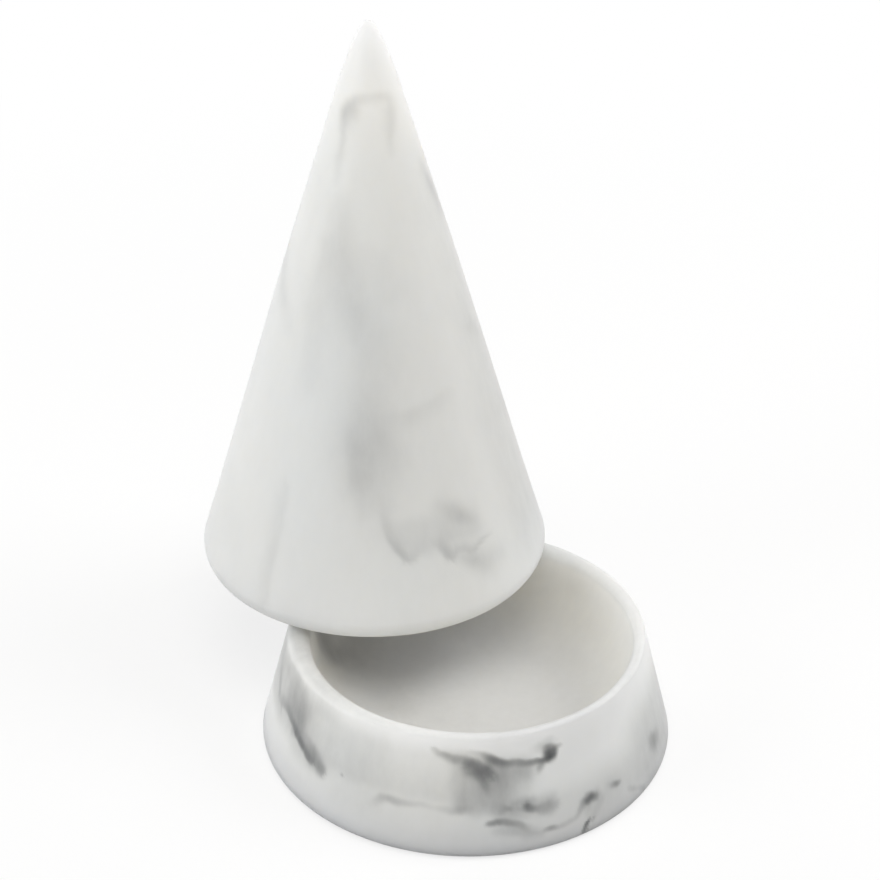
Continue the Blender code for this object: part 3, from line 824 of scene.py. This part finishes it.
def makeCone(material):
    piece = turned("marbleCone", coneOutline(cone), cone["around"], material,
                   lambda point: (coneCentre.x, coneCentre.y))
    strokes = coneUpper + coneMiddle + coneSides + coneLower
    washes = coneLowerWashes + [coneRightWash]
    for echo in coneEchoes:
        moreStrokes, moreWashes = echoed(*echo)
        strokes += moreStrokes
        washes += moreWashes
    turn, height, radius, _ = unrolled(piece, coneCentre[:2], cone["foot"], cone["stir"], slice(None))
    # painted light: the tip is made lighter, as lit from above, and warmer
    tip = ramp(height, *cone["tipLightAndWarmth"])
    paintedShade = cone["paintedShade"][0] + (cone["paintedShade"][1] - cone["paintedShade"][0]) * tip
    savePaint(piece, "inkAndShade", sideInkAndShade(turn, height, radius, strokes, washes, cone["brush"]) + paintedShade)
    savePaint(piece, "warm", tip)
    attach(piece, "cone")
    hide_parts("cone_casting")


# The rubber pads, with their sizes in mm
pads = {
    "edgeRound": 0.25,
    "around": 256,      # vertices in a ring
    # between the rings of the mesh
    "steps": {"edge": 0.06, "face": 2.0},
}


def makePad(name, node, body, material):
    low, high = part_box(node)
    centre = (low + high) / 2.0 / mm
    radius = (high.x - low.x) / 2.0 / mm
    bottom, top = low.z / mm, high.z / mm
    soft, step = pads["edgeRound"], pads["steps"]
    outline = [(0.0, top)] + arc((radius - soft, top - soft), soft, 90.0, 0.0, step["edge"])
    outline += arc((radius - soft, bottom + soft), soft, 0.0, -90.0, step["edge"]) + [(0.0, bottom)]
    piece = turned(name, filled(outline, step["face"]), pads["around"], material,
                   lambda point: (centre.x, centre.y))
    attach(piece, body)
    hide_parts(node)


# Studio: a pale floor, soft lights, and white all round for the camera
studio = {
    "floorSize": 4.0,       # m
    "floorGrey": 0.95,      # of the floor where it shows the shadow
    "floorBounce": 0.4,     # how much of the light the floor throws back
    "shadowDepth": 0.28,
    "shadowReach": (0.12, 0.34),    # m from the middle, where the shadow starts to fade and is gone
    "fill": 0.3,            # strength of the world's own light
    "aim": (0.0, 0.0, 0.06),    # m
    "lampSize": 0.7,        # m
    # place in m, power in W
    "lamps": {
        "softTop": {"place": (0.0, -0.34, 1.0), "power": 3.3, "colour": (1.0, 0.98, 0.94)},
        "softRight": {"place": (0.74, 0.0, 0.73), "power": 4.0, "colour": (1.0, 1.0, 1.0)},
        "softLeft": {"place": (-0.89, -0.41, 0.36), "power": 4.2, "colour": (0.96, 0.98, 1.0)},
        "backRight": {"place": (0.69, 0.69, 0.36), "power": 2.2, "colour": (1.0, 1.0, 1.0)},
        "backLeft": {"place": (-0.69, 0.69, 0.36), "power": 2.8, "colour": (1.0, 1.0, 1.0)},
    },
}


def seenDirectly(nodes, links):
    # 1 for what the camera, a reflection or a clear material sees
    rays = nodes.new("ShaderNodeLightPath").outputs
    direct = mathNode(nodes, links, "MAXIMUM", rays["Is Camera Ray"], rays["Is Glossy Ray"])
    return mathNode(nodes, links, "MAXIMUM", direct, rays["Is Transmission Ray"])


def addFloor(s):
    half = s["floorSize"] / 2.0
    mesh = bpy.data.meshes.new("floor")
    mesh.from_pydata([(-half, -half, 0.0), (half, -half, 0.0), (half, half, 0.0), (-half, half, 0.0)],
                     [], [(0, 1, 2, 3)])
    floor = bpy.data.objects.new("floor", mesh)
    bpy.context.scene.collection.objects.link(floor)
    material, nodes, links = newMaterial("paleFloor")
    white = greyShader(nodes, "ShaderNodeEmission", 1.0, 1.0)
    shade = greyShader(nodes, "ShaderNodeBsdfDiffuse", s["floorGrey"])
    bounce = greyShader(nodes, "ShaderNodeBsdfDiffuse", s["floorBounce"])
    away = nodes.new("ShaderNodeVectorMath")
    away.operation = "LENGTH"
    links.new(nodes.new("ShaderNodeTexCoord").outputs["Object"], away.inputs[0])
    faded = rangeNode(nodes, links, away.outputs["Value"], s["shadowReach"], (s["shadowDepth"], 0.0),
                      smooth=True)
    shown = mixShaders(nodes, links, faded, white, shade)
    output = nodes.new("ShaderNodeOutputMaterial")
    links.new(mixShaders(nodes, links, seenDirectly(nodes, links), bounce, shown), output.inputs["Surface"])
    mesh.materials.append(material)


def addWorld(s):
    world = bpy.data.worlds.new("studio")
    bpy.context.scene.world = world
    world.use_nodes = True
    nodes, links = world.node_tree.nodes, world.node_tree.links
    nodes.clear()
    soft = greyShader(nodes, "ShaderNodeBackground", 1.0, s["fill"])
    white = greyShader(nodes, "ShaderNodeBackground", 1.0, 1.0)
    output = nodes.new("ShaderNodeOutputWorld")
    links.new(mixShaders(nodes, links, seenDirectly(nodes, links), soft, white), output.inputs["Surface"])


def addLamps(s):
    for name, lamp in s["lamps"].items():
        data = bpy.data.lights.new(name, "AREA")
        data.shape = "DISK"
        data.size = s["lampSize"]
        data.energy = lamp["power"]
        data.color = lamp["colour"]
        light = bpy.data.objects.new(name, data)
        bpy.context.scene.collection.objects.link(light)
        light.location = lamp["place"]
        light.rotation_euler = (Vector(s["aim"]) - light.location).to_track_quat("-Z", "Y").to_euler()


addCamera(shot)
print("Camera set")
marbleLook = marbleMaterial("marbleResin", marble)
rubberLook = rubberMaterial("blackRubber", rubber)
print("Marble and rubber ready")
makeBowl(marbleLook)
makeCone(marbleLook)
makePad("bowlPad", "bowl_pad", "bowl", rubberLook)
makePad("conePad", "cone_pad", "cone", rubberLook)
print("Cone, bowl and pads made")
addFloor(studio)
addWorld(studio)
addLamps(studio)
bpy.context.scene.view_settings.view_transform = "Standard"
print("Studio lit")
